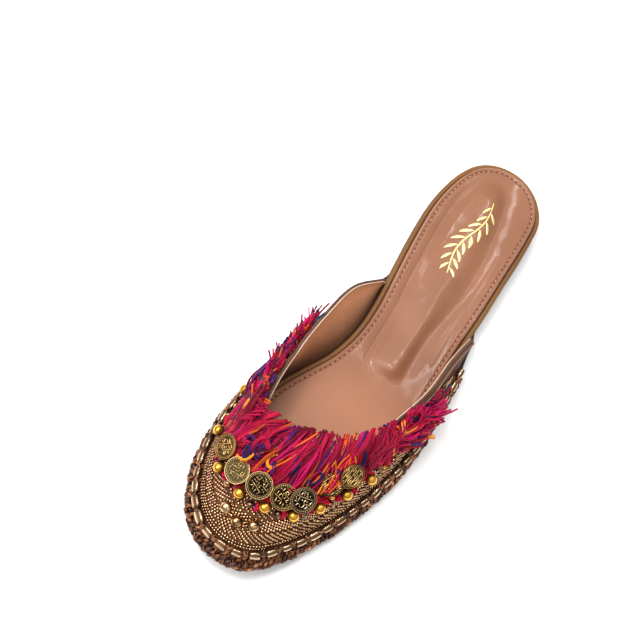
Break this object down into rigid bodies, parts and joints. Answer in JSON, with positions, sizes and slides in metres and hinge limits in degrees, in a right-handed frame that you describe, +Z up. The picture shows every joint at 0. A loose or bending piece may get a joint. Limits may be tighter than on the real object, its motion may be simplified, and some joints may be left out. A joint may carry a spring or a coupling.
{
  "type": "shoe",
  "caption": "Left flat mule with an almond toe, a bead-covered vamp, a coin row, a bright thread fringe and a padded insole.",
  "frame": {"origin": "on the floor under the middle of the heel tread", "axes": "+X toward the toe, +Y toward the wearer's left, +Z up from the floor"},
  "size_m": [0.248, 0.0843, 0.0447],
  "materials": {
    "sole_rubber": "matt dark brown",
    "wrapped_board": "ochre wrap with a satin face",
    "insole_leather": "rose tan with a soft gloss",
    "upper_fabric": "bronze cloth covered with seed beads",
    "piping_fabric": "pale pink rolled edge",
    "cord_fabric": "dark maroon wrapped thread",
    "cup_metal": "champagne gold",
    "fringe_thread": "magenta and crimson loose thread",
    "coin_metal": "antique gold with dark recesses",
    "bead_metal": "polished gold"
  },
  "bodies": {
    "root": {"outsole": "sole_rubber", "heel": "sole_rubber", "midsole": "wrapped_board", "insole": "insole_leather", "upper": "upper_fabric", "collar_piping": "piping_fabric", "rim_cord": "cord_fabric", "cup_beads": "cup_metal", "fringe": "fringe_thread", "coin_1": "coin_metal", "coin_2": "coin_metal", "coin_3": "coin_metal", "coin_4": "coin_metal", "coin_5": "coin_metal", "coin_6": "coin_metal", "coin_7": "coin_metal", "gold_bead_1": "bead_metal", "gold_bead_2": "bead_metal", "gold_bead_3": "bead_metal", "gold_bead_4": "bead_metal", "gold_bead_5": "bead_metal", "gold_bead_6": "bead_metal", "gold_bead_7": "bead_metal", "gold_bead_8": "bead_metal", "gold_bead_9": "bead_metal"}
  },
  "joints": []
}
